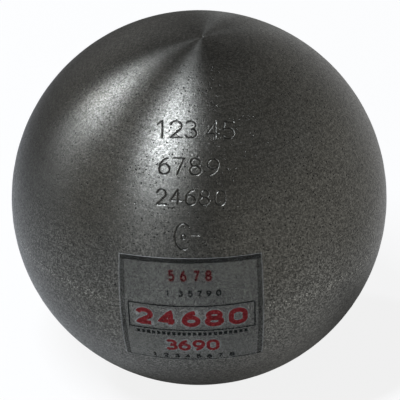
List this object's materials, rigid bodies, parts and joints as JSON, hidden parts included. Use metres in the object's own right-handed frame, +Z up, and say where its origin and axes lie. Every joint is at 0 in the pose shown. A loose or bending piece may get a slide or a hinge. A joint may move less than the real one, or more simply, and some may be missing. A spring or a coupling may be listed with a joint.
{
  "type": "throwing hammer head",
  "caption": "Turned iron ball of a throwing hammer, filled with lead, with a ball-bearing swivel recessed in its flat foot for the wire.",
  "frame": {"origin": "centre of the flat foot ring round the swivel recess, on the plane that the head stands on", "axes": "+Z up along the turning axis, which is also the swivel axis; -Y towards the marked front of the ball; +X to the right of that front"},
  "size_m": [0.12, 0.1205, 0.1169],
  "materials": {
    "turned_iron": "satin",
    "lead": "matte",
    "machined_steel": "satin",
    "black_steel": "satin",
    "bearing_steel": "polished",
    "bronze": "satin",
    "cage_brass": "satin",
    "seal_rubber": "matte",
    "film": "satin"
  },
  "bodies": {
    "head": {"head_shell": "turned_iron", "lead_core": "lead", "core_plate": "machined_steel", "swivel_housing": "machined_steel", "lock_ring": "black_steel", "set_screw_1": "black_steel", "set_screw_2": "black_steel", "guide_bush": "bronze", "dust_seal": "seal_rubber", "housing_washer": "bearing_steel", "inspection_film": "film"},
    "spindle": {"spindle": "machined_steel", "castle_nut": "black_steel", "cotter_pin": "bearing_steel", "thrust_washer": "machined_steel", "shaft_washer": "bearing_steel"},
    "cage": {"ball_cage": "cage_brass"},
    "ball_01": {"ball_01": "bearing_steel"},
    "ball_02": {"ball_02": "bearing_steel"},
    "ball_03": {"ball_03": "bearing_steel"},
    "ball_04": {"ball_04": "bearing_steel"},
    "ball_05": {"ball_05": "bearing_steel"},
    "ball_06": {"ball_06": "bearing_steel"},
    "ball_07": {"ball_07": "bearing_steel"},
    "ball_08": {"ball_08": "bearing_steel"},
    "ball_09": {"ball_09": "bearing_steel"}
  },
  "joints": [
    {"name": "spindle_spin", "type": "hinge", "parent": "head", "child": "spindle", "pos_m": [0, 0, 0.015], "axis": [0, 0, 1], "continuous": true},
    {"name": "cage_orbit", "type": "hinge", "parent": "head", "child": "cage", "pos_m": [0, 0, 0.02993], "axis": [0, 0, 1], "continuous": true},
    {"name": "ball_01_roll", "type": "hinge", "parent": "cage", "child": "ball_01", "pos_m": [0.0085, 0, 0.02993], "axis": [1, 0, 0], "continuous": true},
    {"name": "ball_02_roll", "type": "hinge", "parent": "cage", "child": "ball_02", "pos_m": [0.00651, 0.00546, 0.02993], "axis": [0.766, 0.6428, 0], "continuous": true},
    {"name": "ball_03_roll", "type": "hinge", "parent": "cage", "child": "ball_03", "pos_m": [0.00148, 0.00837, 0.02993], "axis": [0.1736, 0.9848, 0], "continuous": true},
    {"name": "ball_04_roll", "type": "hinge", "parent": "cage", "child": "ball_04", "pos_m": [-0.00425, 0.00736, 0.02993], "axis": [-0.5, 0.866, 0], "continuous": true},
    {"name": "ball_05_roll", "type": "hinge", "parent": "cage", "child": "ball_05", "pos_m": [-0.00799, 0.00291, 0.02993], "axis": [-0.9397, 0.342, 0], "continuous": true},
    {"name": "ball_06_roll", "type": "hinge", "parent": "cage", "child": "ball_06", "pos_m": [-0.00799, -0.00291, 0.02993], "axis": [-0.9397, -0.342, 0], "continuous": true},
    {"name": "ball_07_roll", "type": "hinge", "parent": "cage", "child": "ball_07", "pos_m": [-0.00425, -0.00736, 0.02993], "axis": [-0.5, -0.866, 0], "continuous": true},
    {"name": "ball_08_roll", "type": "hinge", "parent": "cage", "child": "ball_08", "pos_m": [0.00148, -0.00837, 0.02993], "axis": [0.1736, -0.9848, 0], "continuous": true},
    {"name": "ball_09_roll", "type": "hinge", "parent": "cage", "child": "ball_09", "pos_m": [0.00651, -0.00546, 0.02993], "axis": [0.766, -0.6428, 0], "continuous": true}
  ],
  "couplings": [
    {"joint": "cage_orbit", "follows": "spindle_spin", "ratio": 0.5},
    {"joint": "ball_01_roll", "follows": "spindle_spin", "ratio": -1.785},
    {"joint": "ball_02_roll", "follows": "spindle_spin", "ratio": -1.785},
    {"joint": "ball_03_roll", "follows": "spindle_spin", "ratio": -1.785},
    {"joint": "ball_04_roll", "follows": "spindle_spin", "ratio": -1.785},
    {"joint": "ball_05_roll", "follows": "spindle_spin", "ratio": -1.785},
    {"joint": "ball_06_roll", "follows": "spindle_spin", "ratio": -1.785},
    {"joint": "ball_07_roll", "follows": "spindle_spin", "ratio": -1.785},
    {"joint": "ball_08_roll", "follows": "spindle_spin", "ratio": -1.785},
    {"joint": "ball_09_roll", "follows": "spindle_spin", "ratio": -1.785}
  ]
}
